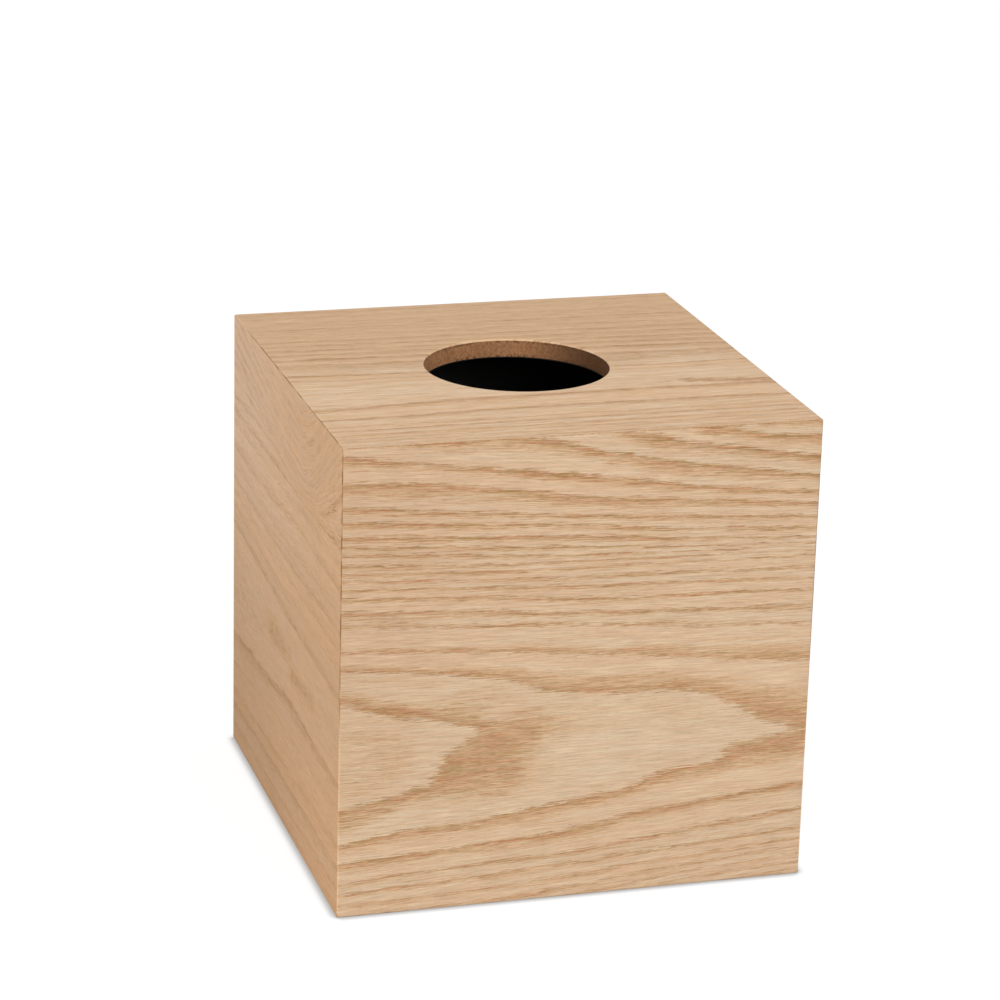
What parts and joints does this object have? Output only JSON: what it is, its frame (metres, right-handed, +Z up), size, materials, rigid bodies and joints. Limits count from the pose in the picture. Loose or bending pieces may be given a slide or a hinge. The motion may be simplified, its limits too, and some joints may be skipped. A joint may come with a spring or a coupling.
{
  "type": "tissue box cover",
  "caption": "Cube cover for a box of tissues: oak-veneered boards with mitred corners, a round hole in the top and an open bottom.",
  "frame": {"origin": "centre of the bottom rim, on the surface that the cover stands on", "axes": "+Z up through the middle of the tissue hole, the front wall faces -Y, +X is to the right seen from the front"},
  "size_m": [0.14, 0.14, 0.14],
  "materials": {
    "oak_veneer": "fine-sanded natural oak with a clear matt lacquer",
    "fibreboard": "cut brown fibreboard under a thin clear lacquer",
    "black_sheet": "matt black balancing sheet",
    "beech_tongue": "plain beech strip, glued in"
  },
  "bodies": {
    "root": {"top_veneer": "oak_veneer", "top_core": "fibreboard", "top_backing": "black_sheet", "front_veneer": "oak_veneer", "front_core": "fibreboard", "front_backing": "black_sheet", "right_veneer": "oak_veneer", "right_core": "fibreboard", "right_backing": "black_sheet", "back_veneer": "oak_veneer", "back_core": "fibreboard", "back_backing": "black_sheet", "left_veneer": "oak_veneer", "left_core": "fibreboard", "left_backing": "black_sheet", "front_left_tongue": "beech_tongue", "front_right_tongue": "beech_tongue", "back_right_tongue": "beech_tongue", "back_left_tongue": "beech_tongue", "top_front_tongue": "beech_tongue", "top_right_tongue": "beech_tongue", "top_back_tongue": "beech_tongue", "top_left_tongue": "beech_tongue"}
  },
  "joints": []
}
